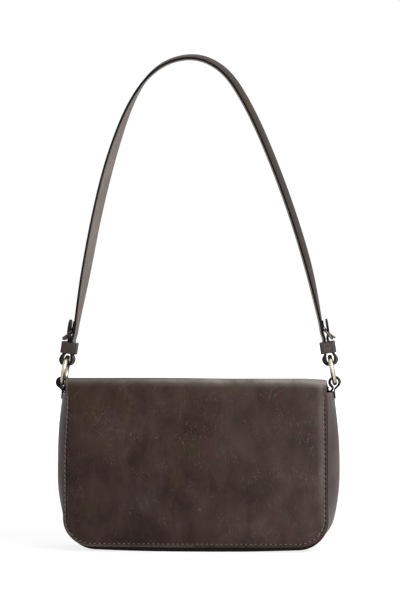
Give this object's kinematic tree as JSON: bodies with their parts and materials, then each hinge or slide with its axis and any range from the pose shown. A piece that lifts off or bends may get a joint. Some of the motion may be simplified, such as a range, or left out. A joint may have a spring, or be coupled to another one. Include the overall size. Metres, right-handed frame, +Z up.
{
  "type": "baguette bag",
  "caption": "Boxed leather shoulder bag with a full-width fold-over flap on a magnetic snap, swelling side gussets and a flat strap buckled round metal rings.",
  "frame": {"origin": "centre of the bounding box on the table under the bag", "axes": "+X to the wearer's view right along the bag's width, +Y from the flap towards the back, +Z up"},
  "size_m": [0.256, 0.0604, 0.444],
  "materials": {
    "body_leather": "waxed pull-up leather, mottled dark brown, satin",
    "gusset_leather": "smooth dark brown leather, satin",
    "strap_leather": "dark brown strap leather with painted edges, satin",
    "strap_lining": "grey-taupe lining leather, matte to satin",
    "flap_suede": "brown split suede, matte",
    "lining_cloth": "tan cotton twill, matte",
    "board": "stiff base board, matte",
    "aged_brass": "pale antique brass, brushed and worn",
    "steel": "plain zinc-plated steel"
  },
  "bodies": {
    "body": {"front_panel": "body_leather", "back_panel": "body_leather", "gusset": "gusset_leather", "base_board": "board", "lining_front": "lining_cloth", "lining_back": "lining_cloth", "lining_gusset": "lining_cloth", "slip_pocket": "lining_cloth", "flap_top": "body_leather", "tab_left": "strap_leather", "tab_right": "strap_leather", "snap_socket": "aged_brass", "socket_washer": "steel"},
    "flap": {"flap_front": "body_leather", "flap_lining": "flap_suede", "snap_stud": "aged_brass", "stud_washer": "steel"},
    "ring_left": {"ring_left": "aged_brass"},
    "ring_right": {"ring_right": "aged_brass"},
    "strap": {"strap_outer": "strap_leather", "strap_inner": "strap_lining", "bar_holder_left": "strap_leather", "bar_holder_right": "strap_leather"},
    "buckle_left": {"buckle_frame_left": "aged_brass"},
    "buckle_right": {"buckle_frame_right": "aged_brass"},
    "prong_left": {"prong_left": "aged_brass"},
    "prong_right": {"prong_right": "aged_brass"},
    "keeper_left": {"keeper_left": "strap_leather"},
    "keeper_right": {"keeper_right": "strap_leather"}
  },
  "joints": [
    {"name": "flap_fold", "type": "hinge", "parent": "body", "child": "flap", "pos_m": [0, -0.0292, 0.154], "axis": [-1, 0, 0], "range_deg": [0, 170]},
    {"name": "strap_swing", "type": "hinge", "parent": "body", "child": "strap", "pos_m": [0, 0.0022, 0.1604], "axis": [1, 0, 0], "range_deg": [-70, 0]},
    {"name": "ring_left_turn", "type": "hinge", "parent": "body", "child": "ring_left", "pos_m": [-0.1205, 0.0022, 0.1604], "axis": [0, 0, 1], "range_deg": [-7.5, 0]},
    {"name": "ring_right_turn", "type": "hinge", "parent": "body", "child": "ring_right", "pos_m": [0.1205, 0.0022, 0.1604], "axis": [0, 0, 1], "range_deg": [0, 7.5]},
    {"name": "buckle_left_turn", "type": "hinge", "parent": "strap", "child": "buckle_left", "pos_m": [-0.11419, 0.0022, 0.196], "axis": [0, 1, 0], "range_deg": [0, 10]},
    {"name": "prong_left_lift", "type": "hinge", "parent": "buckle_left", "child": "prong_left", "pos_m": [-0.11419, 0.0022, 0.196], "axis": [0, 1, 0], "range_deg": [0, 14]},
    {"name": "keeper_left_slide", "type": "slide", "parent": "strap", "child": "keeper_left", "axis": [0.1564, 0, 0.9877], "range_m": [-0.0007, 0.0008]},
    {"name": "buckle_right_turn", "type": "hinge", "parent": "strap", "child": "buckle_right", "pos_m": [0.11419, 0.0022, 0.196], "axis": [0, -1, 0], "range_deg": [0, 10]},
    {"name": "prong_right_lift", "type": "hinge", "parent": "buckle_right", "child": "prong_right", "pos_m": [0.11419, 0.0022, 0.196], "axis": [0, -1, 0], "range_deg": [0, 14]},
    {"name": "keeper_right_slide", "type": "slide", "parent": "strap", "child": "keeper_right", "axis": [-0.1564, 0, 0.9877], "range_m": [-0.0007, 0.0008]}
  ],
  "couplings": [
    {"joint": "ring_left_turn", "follows": "strap_swing", "ratio": 0.106},
    {"joint": "ring_right_turn", "follows": "strap_swing", "ratio": -0.106}
  ]
}
